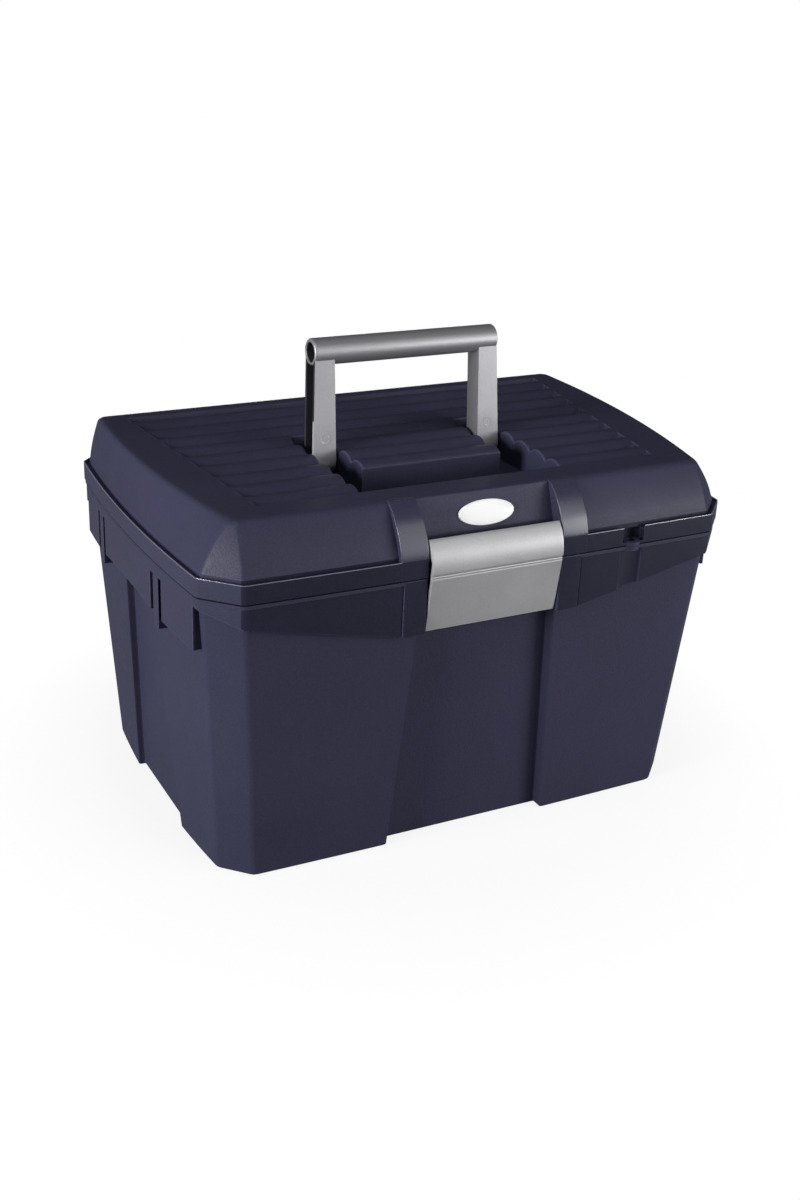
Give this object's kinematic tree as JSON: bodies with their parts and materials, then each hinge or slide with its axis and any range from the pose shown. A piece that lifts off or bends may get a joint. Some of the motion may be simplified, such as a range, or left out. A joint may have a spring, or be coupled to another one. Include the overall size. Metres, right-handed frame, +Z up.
{
  "type": "grooming box",
  "caption": "Moulded plastic carry box with a hinged ribbed lid, a fold-down handle, a swinging front latch, a padlock eye and a lift-out tray.",
  "frame": {"origin": "middle of the foot, on the plane the box stands on", "axes": "+X along the box's width to the right seen from the front, -Y towards the latch, +Z up"},
  "size_m": [0.412, 0.2957, 0.3332],
  "materials": {
    "navy_plastic": "satin dark navy polypropylene with a fine moulded grain",
    "silver_plastic": "satin silver-grey polypropylene with a metallic fleck",
    "pin_steel": "plain drawn steel rod",
    "badge_white": "glossy blank white oval under a clear dome"
  },
  "bodies": {
    "tub": {"tub": "navy_plastic", "hinge_pin_left": "pin_steel", "hinge_pin_right": "pin_steel", "padlock_tab_tub": "navy_plastic"},
    "lid": {"lid": "navy_plastic", "badge": "badge_white", "latch_pin": "pin_steel", "handle_pin_left": "pin_steel", "handle_pin_right": "pin_steel", "padlock_tab_lid": "navy_plastic"},
    "handle": {"handle": "silver_plastic"},
    "latch": {"latch_flap": "silver_plastic"},
    "tray": {"tray": "navy_plastic"}
  },
  "joints": [
    {"name": "lid_hinge", "type": "hinge", "parent": "tub", "child": "lid", "pos_m": [0, 0.1435, 0.20915], "axis": [-1, 0, 0], "range_deg": [0, 105]},
    {"name": "handle_fold", "type": "hinge", "parent": "lid", "child": "handle", "pos_m": [0, -0.0067, 0.247], "axis": [1, 0, 0], "range_deg": [0, 95]},
    {"name": "latch_swing", "type": "hinge", "parent": "lid", "child": "latch", "pos_m": [0, -0.1382, 0.227], "axis": [-1, 0, 0], "range_deg": [0, 110]},
    {"name": "tray_lift", "type": "slide", "parent": "tub", "child": "tray", "axis": [0, 0, 1], "range_m": [0, 0.02]}
  ]
}
